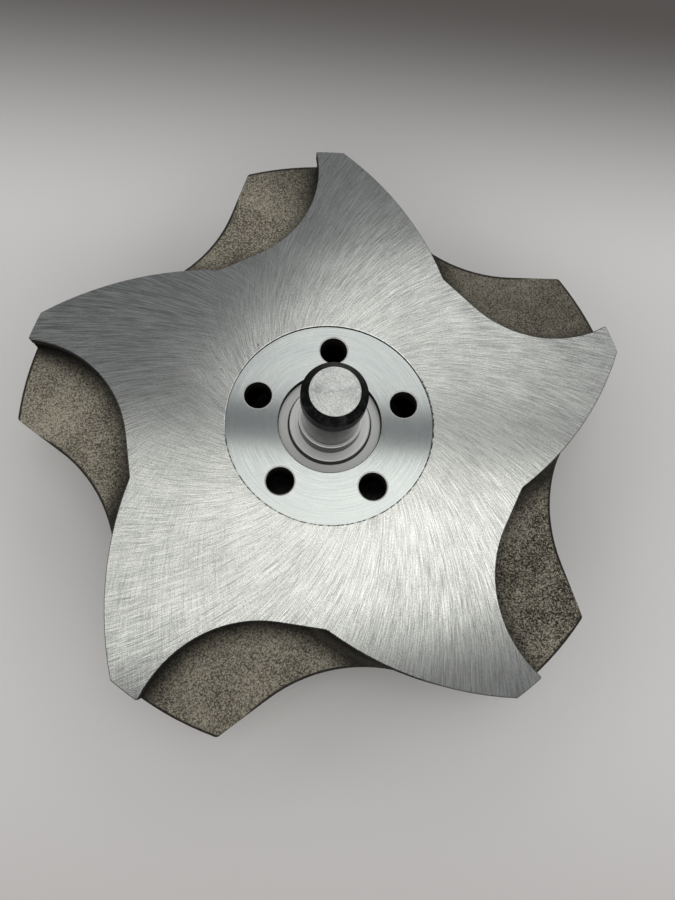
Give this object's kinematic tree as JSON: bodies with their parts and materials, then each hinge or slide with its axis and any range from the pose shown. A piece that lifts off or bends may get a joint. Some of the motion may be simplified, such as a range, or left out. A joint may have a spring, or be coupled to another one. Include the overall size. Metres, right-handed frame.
{
  "type": "pump impeller on a stub shaft",
  "caption": "Closed pump impeller with swept vanes and scalloped star-shaped shrouds, keyed to a short stub shaft with a flanged locating sleeve.",
  "frame": {"origin": "centre of the suction ring's end face, on the rotation axis, where the part stands", "axes": "+Z along the rotation axis from the suction side to the shaft's free end, +Y through one of the balance holes"},
  "size_m": [0.2476, 0.2488, 0.0782],
  "materials": {
    "casting": "machined back face and outlines, as-cast elsewhere",
    "ring": "fine turned",
    "screws": "plain",
    "shaft": "ground body, dark head band, turned end face",
    "sleeve": "fine turned",
    "seal": "moulded",
    "key": "ground",
    "washer": "rolled sheet",
    "nut": "turned and milled"
  },
  "bodies": {
    "root": {"impeller_casting": "casting", "suction_ring": "ring", "suction_ring_lock_screws": "screws", "stub_shaft": "shaft", "locating_sleeve": "sleeve", "sleeve_seal": "seal", "drive_key": "key", "tab_washer": "washer", "impeller_nut": "nut"}
  },
  "joints": []
}
